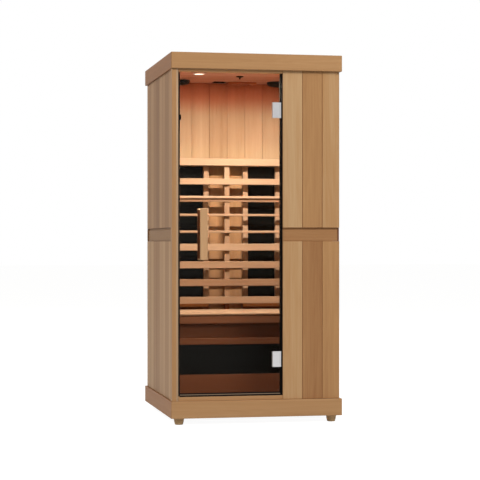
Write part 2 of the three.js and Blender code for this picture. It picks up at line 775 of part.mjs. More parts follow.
function addControls() {
  const middle = (openingRight + innerX) / 2;
  const controlZ = railMiddle + controlRise;
  const back = -innerY + fit;
  const face = back + controlDepth;
  const bezel = prism(
    rounded(middle - controlWidth / 2, middle + controlWidth / 2, back, face, controlRound, 3),
    controlZ - controlHeight / 2, controlZ + controlHeight / 2,
  );
  const displayBottom = controlZ + controlHeight / 2 - controlMargin - displayHeight;
  const displayX = controlWidth / 2 - controlMargin;
  const display = box(
    middle - displayX, middle + displayX, face - displayRecess, face + 1,
    displayBottom, displayBottom + displayHeight,
  );
  const buttonZ = (controlZ - controlHeight / 2 + displayBottom) / 2;
  const names = ['power_button', 'light_button', 'warmer_button', 'cooler_button'];
  const places = names.map((_, index) => middle + (index - (names.length - 1) / 2) * buttonPitch);
  const pockets = places.map((x) => peg(
    buttonRadius + fit, x, face - buttonSeat - buttonTravel - fit, face + 1, buttonZ, 32,
  ));
  add('control_panel', 'plastic', cut(bezel, display, ...pockets));
  names.forEach((name, index) => {
    add(name, 'button', peg(buttonRadius, places[index], face - buttonSeat, face + buttonProud, buttonZ, 32));
  });
}

addBase();
addWalls();
addDoorFrame();
addRoof();
addDoor();
addBench();
addBackrest();
addControls();

export default root;
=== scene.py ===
import math
import random

import bmesh
import bpy
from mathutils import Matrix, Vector


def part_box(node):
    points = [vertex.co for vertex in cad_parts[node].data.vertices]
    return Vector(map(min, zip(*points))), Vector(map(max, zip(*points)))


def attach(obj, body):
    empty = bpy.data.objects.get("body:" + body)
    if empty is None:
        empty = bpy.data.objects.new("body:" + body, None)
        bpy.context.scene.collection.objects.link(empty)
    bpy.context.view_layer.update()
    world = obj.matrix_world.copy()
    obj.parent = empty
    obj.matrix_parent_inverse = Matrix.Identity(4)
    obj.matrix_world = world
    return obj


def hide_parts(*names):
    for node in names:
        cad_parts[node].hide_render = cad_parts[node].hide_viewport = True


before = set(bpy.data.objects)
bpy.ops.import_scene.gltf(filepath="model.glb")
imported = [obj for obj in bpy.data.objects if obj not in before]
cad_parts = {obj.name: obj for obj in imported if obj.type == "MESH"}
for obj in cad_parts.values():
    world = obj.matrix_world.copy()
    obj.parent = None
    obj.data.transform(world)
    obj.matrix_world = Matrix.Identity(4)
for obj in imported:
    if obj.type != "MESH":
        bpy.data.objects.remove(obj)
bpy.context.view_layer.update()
scene = bpy.context.scene
chance = random.Random(19)  # draws the tone of each board
hairline = 0.0003  # the gap between pieces that only touch
print("frame loaded:", len(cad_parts), "nodes")


class Wire:  # a node's socket that takes part in sums
    def __init__(self, finish, socket):
        self.finish = finish
        self.socket = socket

    def sum(self, operation, other, swapped=False):
        first, second = (other, self) if swapped else (self, other)
        return self.finish.node("ShaderNodeMath", {"operation": operation}, {0: first, 1: second})

    def __add__(self, other):
        return self.sum("ADD", other)

    def __sub__(self, other):
        return self.sum("SUBTRACT", other)

    def __rsub__(self, other):
        return self.sum("SUBTRACT", other, True)

    def __mul__(self, other):
        return self.sum("MULTIPLY", other)

    __radd__ = __add__
    __rmul__ = __mul__


class Finish:  # a material and the nodes behind its shader
    def __init__(self, name, sockets):
        self.material = bpy.data.materials.new(name)
        self.material.use_nodes = True
        self.tree = self.material.node_tree
        self.shader = self.tree.nodes["Principled BSDF"]
        self.feed(self.shader, sockets)

    def feed(self, node, sockets):
        for key, value in sockets.items():
            if isinstance(value, Wire):
                self.tree.links.new(value.socket, node.inputs[key])
            else:
                node.inputs[key].default_value = value

    def node(self, kind, settings=None, sockets=None, output=0):
        made = self.tree.nodes.new(kind)
        for key, value in (settings or {}).items():
            if key == "stops":
                ramp = made.color_ramp.elements
                while len(ramp) < len(value):
                    ramp.new(1)
                for stop, (at, colour) in zip(ramp, value):
                    stop.position = at
                    stop.color = colour
            else:
                setattr(made, key, value)
        self.feed(made, sockets or {})
        return Wire(self, made.outputs[output])

    def dress(self, sockets):
        self.feed(self.shader, sockets)

    def place(self):
        return self.node("ShaderNodeTexCoord", output="Object")

    def noise(self, vector, scale, detail=2, rough=0.5):
        return self.node("ShaderNodeTexNoise", None, {
            "Vector": vector, "Scale": scale, "Detail": detail, "Roughness": rough})

    def stretched(self, vector, stretch, shift=(0, 0, 0)):
        return self.node("ShaderNodeVectorMath", {"operation": "MULTIPLY_ADD"}, {
            0: vector, 1: stretch, 2: shift})

    def blend(self, factor, first, second):
        return self.node("ShaderNodeMix", {"data_type": "RGBA"}, {0: factor, 6: first, 7: second}, 2)

    def bump(self, height, strength, distance):
        self.dress({"Normal": self.node("ShaderNodeBump", None, {
            "Height": height, "Strength": strength, "Distance": distance})})


def rgb(red, green, blue):  # a screen colour of 0 to 255 as the shader takes it
    def linear(value):
        value /= 255
        return value / 12.92 if value <= 0.04045 else ((value + 0.055) / 1.055) ** 2.4
    return linear(red), linear(green), linear(blue), 1


woodLooks = {  # the colours of a board of tone 0, 0.5 and 1
    "trim": {"dark": (144, 104, 68), "mid": (169, 130, 91), "light": (190, 153, 113), "rough": 0.5},
    "board": {"dark": (140, 98, 64), "mid": (170, 130, 89), "light": (192, 164, 128), "rough": 0.48},
    # the side kinds are darker copies of the board, trim and rail woods: painted shade of the side walls
    "side": {"dark": (132, 96, 64), "mid": (160, 122, 86), "light": (184, 149, 112), "rough": 0.55},
    "sideTrim": {"dark": (126, 86, 54), "mid": (158, 112, 74), "light": (178, 134, 94), "rough": 0.55},
    "rail": {"dark": (134, 94, 60), "mid": (155, 114, 77), "light": (172, 132, 93), "rough": 0.5},
    "sideRail": {"dark": (126, 92, 60), "mid": (145, 110, 75), "light": (164, 130, 92), "rough": 0.55},
    "lining": {"dark": (112, 80, 55), "mid": (150, 121, 91), "light": (174, 147, 117), "rough": 0.55},
    "ceiling": {"dark": (152, 107, 95), "mid": (179, 133, 120), "light": (196, 156, 140), "rough": 0.55},
    # benchFront is darker wood that paints the shade under the bench nose, on the inner handle and at the
    # front rail's corner
    "benchFront": {"dark": (74, 43, 26), "mid": (95, 58, 37), "light": (116, 77, 53), "rough": 0.55},
    "bench": {"dark": (124, 92, 67), "mid": (160, 131, 103), "light": (180, 154, 127), "rough": 0.52},
    "handle": {"dark": (150, 110, 74), "mid": (182, 142, 104), "light": (204, 168, 130), "rough": 0.42},
    "shaded": {"dark": (88, 47, 20), "mid": (107, 60, 27), "light": (128, 78, 44), "rough": 0.6},
    "roof": {"dark": (128, 108, 84), "mid": (160, 138, 110), "light": (182, 162, 134), "rough": 0.7},
}
woodLooks["backLining"] = woodLooks["lining"]
grainLook = {  # cells per metre across and along the grain, detail, roughness and strength
    "figure": (12, 0.7, 2, 0.5, 0.4),
    "streak": (52, 1.4, 3, 0.55, 0.32),
    "fine": (260, 2.4, 2, 0.5, 0.18),
    "pore": (700, 14, 2, 0.5, 0.12),
}
ringLook = {"count": 14, "strength": 0.07}
woodRelief = {"streak": 0.4, "fine": 0.4, "pore": 0.2, "strength": 0.2, "depth": 0.0006}
toneShift = (31, 47, 23)  # boards of different tones show different grain
woodSheen = 0.14
uneven = 0.2  # how far the roughness of a finish wanders
ceilingShadeTint = {"from": 1.68, "to": 1.82, "colour": (0.92, 0.46, 0.38, 1)}  # painted shade: redder and darker near the ceiling
railLightTint = {"from": 1.57, "to": 1.45, "colour": (1.06, 1.13, 1.11, 1)}  # painted light: palest at the top rail
guardShadeTint = {"from": 1.358, "to": 1.34, "colour": (1, 0.82, 0.69, 1)}  # painted shade: redder behind the backrest
lowShadeTint = {"from": 1.25, "to": 0.62, "colour": (0.86, 0.82, 0.84, 1)}  # painted shade: darker towards the bench
tints = {"lining": [ceilingShadeTint], "backLining": [ceilingShadeTint, railLightTint, guardShadeTint, lowShadeTint]}
woods = {}


def wood(kind, along):
    key = kind + "Wood" + along.upper()
    if key in woods:
        return woods[key]
    look = woodLooks[kind]
    finish = woods[key] = Finish(key, {"Specular IOR Level": woodSheen})
    place = finish.place()
    tone = finish.node("ShaderNodeAttribute", {"attribute_name": "tone"}, output="Fac")
    reaches = {axis: tone * reach for axis, reach in enumerate(toneShift)}
    shift = finish.node("ShaderNodeCombineXYZ", None, reaches)
    grain, shade = {}, tone
    for name, (across, length, detail, rough, strength) in grainLook.items():
        stretch = [length if axis == along else across for axis in "xyz"]
        grain[name] = finish.noise(finish.stretched(place, stretch, shift), 1, detail, rough)
        shade = shade + (grain[name] - 0.5) * strength
    waves = {0: grain["figure"] * ringLook["count"], 1: 0.5}
    ring = finish.node("ShaderNodeMath", {"operation": "PINGPONG"}, waves) * 2
    shade = shade + (ring - 0.5) * ringLook["strength"]
    stops = [(0, rgb(*look["dark"])), (0.5, rgb(*look["mid"])), (1, rgb(*look["light"]))]
    colour = finish.node("ShaderNodeValToRGB", {"stops": stops}, {0: shade})
    # each tint multiplies painted light and shade into the colour over a band of heights
    for tint in tints.get(kind, []):
        height = finish.node("ShaderNodeSeparateXYZ", None, {0: place}, 2)
        paintedShare = finish.node("ShaderNodeMapRange", {"interpolation_type": "SMOOTHSTEP"}, {
            "Value": height, "From Min": tint["from"], "From Max": tint["to"]})
        colour = finish.node("ShaderNodeMix", {"data_type": "RGBA", "blend_type": "MULTIPLY"}, {
            0: paintedShare, 6: colour, 7: tint["colour"]}, 2)
    finish.dress({"Base Color": colour, "Roughness": look["rough"] + (grain["fine"] - 0.5) * uneven})
    streak, fine, pore = [grain[name] * woodRelief[name] for name in ("streak", "fine", "pore")]
    finish.bump(streak + fine + pore, woodRelief["strength"], woodRelief["depth"])
    return finish


mouldLook = {"cloud": 9, "speckShare": 0.4, "relief": 0.15, "depth": 0.0003}


def moulded(name, dark, light, rough, sheen=0.25, grain=900):
    finish = Finish(name, {"Specular IOR Level": sheen})
    speck = finish.noise(finish.place(), grain)
    cloud = finish.noise(finish.place(), mouldLook["cloud"])
    share = mouldLook["speckShare"]
    finish.dress({
        "Base Color": finish.blend(cloud * (1 - share) + speck * share, rgb(*dark), rgb(*light)),
        "Roughness": rough + (cloud - 0.5) * uneven,
    })
    finish.bump(speck, mouldLook["relief"], mouldLook["depth"])
    return finish


brushLook = {"lines": (2500, 2500, 60), "cloud": 24, "relief": 0.05, "depth": 0.0002}


def brushed(name, dark, light, rough):
    finish = Finish(name, {"Metallic": 1.0})
    lines = finish.noise(finish.stretched(finish.place(), brushLook["lines"]), 1)
    cloud = finish.noise(finish.place(), brushLook["cloud"])
    finish.dress({
        "Base Color": finish.blend(lines * 0.5 + cloud * 0.5, rgb(*dark), rgb(*light)),
        "Roughness": rough + (lines - 0.5) * uneven,
    })
    finish.bump(lines, brushLook["relief"], brushLook["depth"])
    return finish


filmLook = {
    "dark": (4, 5, 4), "light": (9, 10, 8), "rough": 0.34, "sheen": 0.09, "cloud": 5,
    "weave": 260, "waver": 0.5, "weaveShare": 0.2, "relief": 0.03, "depth": 0.0002,
}


def carbonFilm():
    finish = Finish("heaterBlack", {"Specular IOR Level": filmLook["sheen"]})
    place = finish.place()
    weave = [finish.node("ShaderNodeTexWave", {"wave_type": "BANDS", "bands_direction": direction}, {
        "Vector": place, "Scale": filmLook["weave"], "Distortion": filmLook["waver"], "Detail": 1,
    }) for direction in "XZ"]
    cloud, share = finish.noise(place, filmLook["cloud"], 3), filmLook["weaveShare"]
    dark, light = rgb(*filmLook["dark"]), rgb(*filmLook["light"])
    finish.dress({
        "Base Color": finish.blend(cloud * (1 - share) + weave[0] * share, dark, light),
        "Roughness": filmLook["rough"] + (cloud - 0.5) * uneven,
    })
    finish.bump(weave[0] * 0.5 + weave[1] * 0.5, filmLook["relief"], filmLook["depth"])
    return finish


def clearPane(name, tint, faceOn, gloss):
    finish = Finish(name, {})
    clear = finish.node("ShaderNodeBsdfTransparent", None, {"Color": tint})
    shine = finish.node("ShaderNodeBsdfGlossy", None, {"Color": (1, 1, 1, 1), "Roughness": gloss})
    slant = finish.node("ShaderNodeLayerWeight", None, {"Blend": 0.5}, "Facing")
    mirror = slant.sum("POWER", 5) * (1 - faceOn) + faceOn  # clearest when seen face on
    mixed = finish.node("ShaderNodeMixShader", None, {0: mirror, 1: clear, 2: shine})
    finish.feed(finish.tree.nodes["Material Output"], {"Surface": mixed})
    finish.tree.nodes.remove(finish.shader)
    return finish


glowLook = {"rough": 0.35, "cloud": 40, "share": 0.3}


def glowing(name, colour, light, strength):
    finish = Finish(name, {"Roughness": glowLook["rough"], "Emission Strength": strength})
    cloud = finish.noise(finish.place(), glowLook["cloud"])
    finish.dress({
        "Base Color": finish.blend(cloud, rgb(*colour), rgb(*light)),
        "Emission Color": finish.blend(cloud * glowLook["share"], rgb(*light), rgb(*colour)),
    })
    return finish


heaterBlack = carbonFilm()
blackPlastic = moulded("blackPlastic", (7, 7, 6), (15, 14, 13), 0.45, 0.1)
sealRubber = moulded("sealRubber", (10, 9, 8), (20, 18, 17), 0.65, 0.08, 500)
displayBlack = moulded("displayBlack", (8, 8, 9), (16, 16, 17), 0.12, 0.4, 300)
footPlastic = moulded("footPlastic", (184, 150, 109), (207, 174, 131), 0.6)
buttonGrey = moulded("buttonGrey", (196, 192, 184), (214, 210, 203), 0.4, 0.4)
leafBlack = moulded("leafBlack", (14, 13, 12), (26, 24, 22), 0.4, 0.15)
hingeNickel = brushed("hingeNickel", (188, 187, 188), (210, 209, 210), 0.36)
boltSteel = brushed("boltSteel", (176, 174, 170), (206, 204, 200), 0.3)
profileBronze = brushed("profileBronze", (132, 112, 92), (166, 144, 122), 0.42)
doorGlass = clearPane("doorGlass", (0.92, 0.9, 0.88, 1), 0.0015, 0.02)
glassEdge = moulded("glassEdge", (16, 18, 15), (30, 33, 28), 0.25, 0.15, 60)
lampWhite = glowing("lampWhite", (255, 240, 224), (255, 247, 238), 2.6)
stripWhite = glowing("stripWhite", (255, 226, 190), (255, 240, 220), 2.5)
displayGlow = glowing("displayGlow", (255, 140, 70), (255, 176, 110), 1.6)
print("finishes made")


def newMesh():
    bm = bmesh.new()
    bm.faces.layers.float.new("tone")
    return bm


def fresh(bm):  # faces that have no tone yet
    tone = bm.faces.layers.float["tone"]
    return [face for face in bm.faces if face[tone] == 0]


def paint(bm, value):
    tone = bm.faces.layers.float["tone"]
    for face in fresh(bm):
        face[tone] = value


def soften(bm, rims, edge, segments=2):
    bmesh.ops.bevel(bm, geom=rims, offset=edge, offset_type="OFFSET", segments=segments, profile=0.5,
                    affect="EDGES", clamp_overlap=True, material=-1)


def cuboid(bm, low, high):
    low, high = Vector(low), Vector(high)
    corners = bmesh.ops.create_cube(bm, size=1)["verts"]
    bmesh.ops.scale(bm, vec=high - low, verts=corners)
    bmesh.ops.translate(bm, vec=(low + high) / 2, verts=corners)
    return list({rim for corner in corners for rim in corner.link_edges})


def block(bm, low, high, edge, tone=0.5, segments=2, seam=0):
    soften(bm, cuboid(bm, low, high), edge, segments)
    if seam:  # the rounded edges are darker
        bm.normal_update()
        layer = bm.faces.layers.float["tone"]
        for face in fresh(bm):
            if max(abs(part) for part in face.normal) < 0.99:
                face[layer] = tone - seam or 0.001  # a tone of 0 counts as none
    paint(bm, tone)


def turned(bm, profile, centre, axis=(0, 0, 1), steps=32, tone=0.5):
    axis, centre = Vector(axis), Vector(centre)
    side = axis.orthogonal().normalized()
    line = [bm.verts.new(centre + side * radius + axis * height) for radius, height in profile]
    rims = [bm.edges.new(pair) for pair in zip(line, line[1:])]
    bmesh.ops.spin(bm, geom=line + rims, cent=centre, axis=axis, angle=math.tau, steps=steps, use_merge=True)
    made = fresh(bm)
    bmesh.ops.remove_doubles(bm, verts=list({v for face in made for v in face.verts}), dist=1e-6)
    bmesh.ops.recalc_face_normals(bm, faces=fresh(bm))
    paint(bm, tone)


def screw(bm, centre, axis, radius):
    turned(bm, [(0, radius * 0.15), (radius * 0.45, radius * 0.15), (radius * 0.5, radius * 0.55),
                (radius * 0.85, radius * 0.5), (radius, radius * 0.2), (radius, 0)], centre, axis, 12)


def finished(bm, name, finishes, nodes=(), body="cabin", smooth=40, flat=True):
    mesh = bpy.data.meshes.new(name)
    bm.to_mesh(mesh)
    bm.free()
    for finish in finishes if isinstance(finishes, list) else [finishes]:
        mesh.materials.append(finish.material)
    mesh.shade_smooth()
    mesh.set_sharp_from_angle(angle=math.radians(smooth))
    piece = bpy.data.objects.new(name, mesh)
    scene.collection.objects.link(piece)
    if flat:  # large faces stay flat beside their rounded edges
        normals = piece.modifiers.new("normals", "WEIGHTED_NORMAL")
        normals.weight = 100
        normals.keep_sharp = True
    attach(piece, body)
    if nodes:
        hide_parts(*nodes)
    return piece


def nodeCopy(node):
    bm = newMesh()
    bm.from_mesh(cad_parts[node].data)
    bmesh.ops.remove_doubles(bm, verts=bm.verts, dist=1e-5)
    bmesh.ops.dissolve_limit(bm, angle_limit=math.radians(1), verts=bm.verts, edges=bm.edges)
    return bm


def sharpRims(bm, degrees=35):
    return [rim for rim in bm.edges if rim.is_manifold and rim.calc_face_angle() > math.radians(degrees)]


def eased(node, finish, edge, tone=0.5, segments=2, body="cabin"):
    bm = nodeCopy(node)
    soften(bm, sharpRims(bm), edge, segments)
    paint(bm, tone)
    return finished(bm, node + "_eased", finish, [node], body)


def parted(bm, axis, at, above=True):  # faces past a level of one axis get the second material
    point, normal = Vector((0, 0, 0)), Vector((0, 0, 0))
    point[axis], normal[axis] = at, 1
    everything = bm.verts[:] + bm.edges[:] + bm.faces[:]
    bmesh.ops.bisect_plane(bm, geom=everything, plane_co=point, plane_no=normal)
    for face in bm.faces:
        face.material_index = (face.calc_center_median()[axis] > at) == above


def widened(profile, radius):  # a profile given in shares of its radius
    return [(radius * share, height) for share, height in profile]


boardTones = (0.3, 0.7)  # the range where no tones are listed


def boardSpans(start, end, pitch):
    seams = [start]
    while seams[-1] + pitch < end - pitch / 3:
        seams.append(seams[-1] + pitch)
    return list(zip(seams, seams[1:] + [end]))


def boardRow(bm, low, high, axis, pitch, edge, tones=None, seam=0.7):
    for index, (start, end) in enumerate(boardSpans(low[axis], high[axis], pitch)):
        boardLow, boardHigh = Vector(low), Vector(high)
        boardLow[axis], boardHigh[axis] = start, end
        tone = tones[index] if tones else chance.uniform(*boardTones)
        block(bm, boardLow, boardHigh, edge, tone, seam=seam)


outside = {
    "pitch": 0.108,
    "edge": 0.0024,
    "seams": {"board": 0.4, "side": 0.7},
    "backEdge": 0.0006,
    "railEdge": 0.0015,
    "railStep": 0.0005,
    "endTone": 0.95,
    "proud": 0.004,
    "stop": 0.022,
    "stopShadeTone": 0.1,
    "grooveHeight": 0.009,
    "grooveDepth": 0.0035,
    "grooveEdge": 0.0005,
    "grooveTone": 0.55,
    "frontUpper": [0.74, 0.38, 0.58],
    "frontLower": [0.66, 0.17, 0.46],
    "leftUpper": [0.62, 0.26, 0.54, 0.68, 0.14, 0.36, 0.70, 0.48, 0.16],
    "leftLower": [0.96, 0.58, 0.92, 0.80, 0.42, 0.52, 0.95, 0.82, 0.66],
}


def outerWall(side, axis, depthAxis, outward, boardWood, railWood, tones=(None, None), stops=()):
    node = f"{side}_boards"
    low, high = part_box(node)
    railLow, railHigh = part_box(f"{side}_rail")
    proud = outside["proud"]
    for lower, upper in ((low, high), (railLow, railHigh))[:1 + axis]:  # the outer sides stand out a little
        if side == "left_wall":
            lower.x -= proud
        else:
            upper.x += proud
    bm = newMesh()
    tiers = ((low.z, railLow.z - hairline, tones[0]), (railHigh.z + hairline, high.z, tones[1]))
    for bottom, top, tier in tiers:
        tierLow, tierHigh = Vector(low), Vector(high)
        tierLow.z, tierHigh.z = bottom, top
        seam = outside["seams"][boardWood]
        boardRow(bm, tierLow, tierHigh, axis, outside["pitch"], outside["edge"], tier, seam)
    for end in stops:  # a block closes the rail's recess at a corner; its low tone is painted shade of the recess
        stopLow, stopHigh = Vector(low), Vector(high)
        stopLow.z, stopHigh.z = railLow.z, railHigh.z
        if end == "start":
            stopHigh[axis] = railLow[axis] = low[axis] + outside["stop"]
        else:
            stopLow[axis] = railHigh[axis] = high[axis] - outside["stop"]
        block(bm, stopLow, stopHigh, outside["railEdge"], outside["stopShadeTone"])
    finished(bm, node + "_row", wood(boardWood, "z"), [node])
    if outward < 0:  # the rail also fills the wall behind it
        railHigh[depthAxis] = high[depthAxis]
    else:
        railLow[depthAxis] = low[depthAxis]
    groove = Vector(railHigh)  # a groove along the top of the rail
    groove.z -= outside["grooveHeight"]
    bm = newMesh()
    block(bm, railLow, groove, outside["railEdge"])
    shown = railLow if outward < 0 else railHigh
    shown[depthAxis] -= outward * outside["grooveDepth"]
    railLow.z = groove.z
    block(bm, railLow, railHigh, outside["grooveEdge"], outside["grooveTone"], 1)
    finished(bm, f"{side}_rail_strip", wood(railWood, "xy"[axis]), [f"{side}_rail"])


def backWall():
    bm = nodeCopy("back_wall_boards")
    soften(bm, sharpRims(bm), outside["backEdge"], 1)
    tone = bm.faces.layers.float["tone"]
    low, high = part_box("back_wall_boards")
    tones = [chance.uniform(*boardTones) for _ in boardSpans(low.x, high.x, outside["pitch"])]
    for face in bm.faces:
        index = int((face.calc_center_median().x - low.x) / outside["pitch"])
        face[tone] = tones[min(index, len(tones) - 1)]
    finished(bm, "back_wall_boards_row", wood("side", "z"), ["back_wall_boards"])


outerWall("left_wall", 1, 0, -1, "side", "sideRail", (outside["leftLower"], outside["leftUpper"]), ("end",))
outerWall("right_wall", 1, 0, 1, "side", "sideRail", stops=("start", "end"))
outerWall("front_panel", 0, 1, -1, "board", "rail", (outside["frontLower"], outside["frontUpper"]))
railLow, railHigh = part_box("front_panel_rail")
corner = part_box("front_panel_boards")[1]
railEnd = newMesh()  # the block at the corner end of the front rail, dark wood that paints the shade of the recess
block(railEnd, (railHigh.x + hairline, railLow.y + outside["railStep"], railLow.z),
      (corner.x + outside["proud"], corner.y, railHigh.z), outside["railEdge"], outside["endTone"])
finished(railEnd, "front_panel_rail_end", wood("benchFront", "z"))
backWall()

inside = {
    "pitch": 0.105, "edge": 0.0022, "thickness": 0.0117, "seam": 0.24,
    "backTones": [0.5, 0.66, 0.55, 0.45, 0.50, 0.66, 0.62, 0.45],
}

for side, axis in (("left_wall", 1), ("right_wall", 1), ("back_wall", 0), ("front_panel", 0)):
    node = f"{side}_lining"
    low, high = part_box(node)
    if side == "back_wall":  # without the ledger under the bench
        low.y = high.y - inside["thickness"]
    bm = newMesh()
    tones = inside["backTones"] if side == "back_wall" else None
    boardRow(bm, low, high, axis, inside["pitch"], inside["edge"], tones, inside["seam"])
    kind = "backLining" if side == "back_wall" else "lining"
    finished(bm, node + "_row", wood(kind, "z"), [node])
print("walls boarded")

trim = {
    "edge": 0.0016, "deckPitch": 0.0862, "deckEdge": 0.0014, "spread": 0.04,
    "postStrip": 0.011, "postTone": 0.46, "highlightTone": 0.7,
    # the side cornice's low tone is painted shade
    "tone": {("plinth", "trim"): 0.58, ("plinth", "sideTrim"): 0.6,
             ("cornice", "trim"): 0.46, ("cornice", "sideTrim"): 0.26},
}

for ring in ("plinth", "cornice"):
    for side, along in (("front", "x"), ("back", "x"), ("left", "y"), ("right", "y")):
        kind = "trim" if along == "x" else "sideTrim"
        tone = trim["tone"][ring, kind] + chance.uniform(-trim["spread"], trim["spread"])
        eased(f"{ring}_{side}", wood(kind, along), trim["edge"], tone)
for node in ("door_header", "door_sill"):
    eased(node, wood("trim", "x"), trim["edge"])


def doorPost():
    bm = nodeCopy("door_post")
    soften(bm, sharpRims(bm), trim["edge"])
    parted(bm, 0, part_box("door_post")[1].x - trim["postStrip"])
    layer = bm.faces.layers.float["tone"]
    for face in bm.faces:  # painted highlight: the strip beside the opening is paler
        face[layer] = trim["highlightTone"] if face.material_index else trim["postTone"]
    finished(bm, "door_post_eased", [wood("trim", "z"), wood("bench", "z")], ["door_post"])


doorPost()

# painted shade: the deck is in the dark shaded wood
deck = newMesh()
boardRow(deck, *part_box("floor_deck"), 1, trim["deckPitch"], trim["deckEdge"])
finished(deck, "floor_deck_boards", wood("shaded", "x"), ["floor_deck"])

footLook = {"narrow": 0.021, "rim": 0.0025, "groove": 0.0012, "grooveHeight": 0.024}


def foot(node):
    low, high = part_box(node)
    middle = (low + high) / 2
    top, wide, narrow = high.z, (high.x - low.x) / 2, footLook["narrow"]
    slope = (wide - narrow) / top
    at, rim, groove = footLook["grooveHeight"], footLook["rim"], footLook["groove"]
    bm = newMesh()
    turned(bm, [
        (0, 0), (narrow - rim, 0), (narrow - rim * 0.3, rim * 0.3), (narrow + slope * rim, rim),
        (narrow + slope * at, at), (narrow + slope * at - groove, at + groove),
        (narrow + slope * at, at + 2 * groove), (wide - rim * 0.3, top - rim), (wide - rim, top), (0, top),
    ], (middle.x, middle.y, 0), steps=40)
    finished(bm, node + "_turned", footPlastic, [node], flat=False)


for end in ("front", "back"):
    for side in ("left", "right"):
        foot(f"foot_{end}_{side}")

roof = {
    "pitch": 0.101, "edge": 0.0022, "coverEdge": 0.001, "screwMargin": 0.025, "screwRadius": 0.004,
    "screwX": (-0.42, -0.14, 0.14, 0.42),
}
vent = {
    "length": 0.076, "margin": 0.005, "frame": 0.0055, "frameEdge": 0.0008, "frameTones": (0.35, 0.65),
    "collar": 0.002, "collarEdge": 0.0004, "bars": 5, "barHeight": 0.006, "shutterEdge": 0.0012,
    "pegSpread": 0.030, "pegInset": 0.016, "pegDrop": 0.0103,
    "peg": [(0, -0.004), (0.0075, -0.004), (0.009, -0.0028), (0.009, 0), (0.004, 0), (0.004, 0.0106)],
}
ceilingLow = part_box("left_wall_lining")[1].z + hairline
coverLow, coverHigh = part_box("roof_cover")
shutterLow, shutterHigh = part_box("vent_shutter")
ventEnd = shutterLow.x - vent["margin"]
ventLow = Vector((ventEnd - vent["length"], shutterLow.y + vent["margin"], ceilingLow))
ventHigh = Vector((ventEnd, shutterHigh.y - vent["margin"], coverHigh.z))


def ceiling():
    low = Vector((coverLow.x, coverLow.y, ceilingLow))
    high = Vector((coverHigh.x, coverHigh.y, coverLow.z - hairline))
    start, end = ventLow.y - vent["frame"], ventHigh.y + vent["frame"]
    bm = newMesh()
    boardRow(bm, (low.x, end, low.z), high, 1, roof["pitch"], roof["edge"])
    boardRow(bm, low, (high.x, start, high.z), 1, roof["pitch"], roof["edge"])
    tone = chance.uniform(*vent["frameTones"])
    for x0, x1, y0, y1 in (
        (low.x, ventLow.x, start, end), (ventHigh.x, high.x, start, end),
        (ventLow.x, ventHigh.x, start, ventLow.y), (ventLow.x, ventHigh.x, ventHigh.y, end),
    ):
        block(bm, (x0, y0, low.z), (x1, y1, high.z), vent["frameEdge"], tone, 1)
    finished(bm, "ceiling_boards", wood("ceiling", "x"), ["ceiling_panel"])


def ventFittings():
    wall, edge, mid = vent["collar"], vent["collarEdge"], (ventLow + ventHigh) / 2
    left, right = ventLow.x + wall, ventHigh.x - wall
    bm = newMesh()
    for x in (ventLow.x, right):  # a black collar in the hole
        block(bm, (x, ventLow.y, ventLow.z), (x + wall, ventHigh.y, ventHigh.z), edge, segments=1)
    for y in (ventLow.y, ventHigh.y - wall):
        block(bm, (left, y, ventLow.z), (right, y + wall, ventHigh.z), edge, segments=1)
    pitch = (ventHigh.y - ventLow.y) / (vent["bars"] + 1)
    for index in range(vent["bars"]):
        y = ventLow.y + (index + 1) * pitch
        block(bm, (left, y - wall, mid.z), (right, y + wall, mid.z + vent["barHeight"]), edge, segments=1)
    finished(bm, "vent_collar", blackPlastic)

    bm = newMesh()
    under = shutterHigh.z - vent["pegDrop"]
    for y in (mid.y - vent["pegSpread"], mid.y + vent["pegSpread"]):
        turned(bm, vent["peg"], (shutterLow.x + vent["pegInset"], y, under), steps=24)
    finished(bm, "vent_pegs", wood("lining", "z"), flat=False)


ceiling()
ventFittings()
eased("vent_shutter", wood("lining", "x"), vent["shutterEdge"], body="vent")
eased("roof_cover", wood("roof", "x"), roof["coverEdge"])

roofScrews = newMesh()
for x in roof["screwX"]:
    for y in (coverLow.y + roof["screwMargin"], coverHigh.y - roof["screwMargin"]):
        screw(roofScrews, (x, y, coverHigh.z), (0, 0, 1), roof["screwRadius"])
finished(roofScrews, "roof_screws", boltSteel, flat=False)
print("base and roof made")


def fromCeiling(node):
    low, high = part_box(node)
    middle = (low + high) / 2
    return Vector((middle.x, middle.y, ceilingLow)), (high.x - low.x) / 2


lampLook = {  # share of the radius and height beside the ceiling
    "bezel": [(0.78, -0.0012), (0.82, -0.0032), (0.93, -0.0032), (1, -0.0014), (1, -0.0002),
              (0.78, -0.0002), (0.78, -0.0012)],
    "lens": [(0, -0.0026), (0.4, -0.0024), (0.79, -0.0014), (0.79, -0.0004), (0, -0.0004)],
}


def lampUnit():
    centre, radius = fromCeiling("ceiling_lamp")
    bezel = newMesh()
    turned(bezel, widened(lampLook["bezel"], radius), centre, steps=48)
    finished(bezel, "ceiling_lamp_bezel", boltSteel, flat=False)
    lens = newMesh()
    turned(lens, widened(lampLook["lens"], radius), centre, steps=48)
    finished(lens, "ceiling_lamp_lens", lampWhite, ["ceiling_lamp"], flat=False)


speakerLook = {
    "drop": 0.028, "rim": 0.0075, "round": 0.002, "ridges": 14, "sink": 0.0016, "reach": 0.94, "bulge": 0.8,
    "ridge": ((0, 1), (0.343, 0), (0.637, 0), (0.98, 1)),  # share of a ridge and whether it is sunk
}


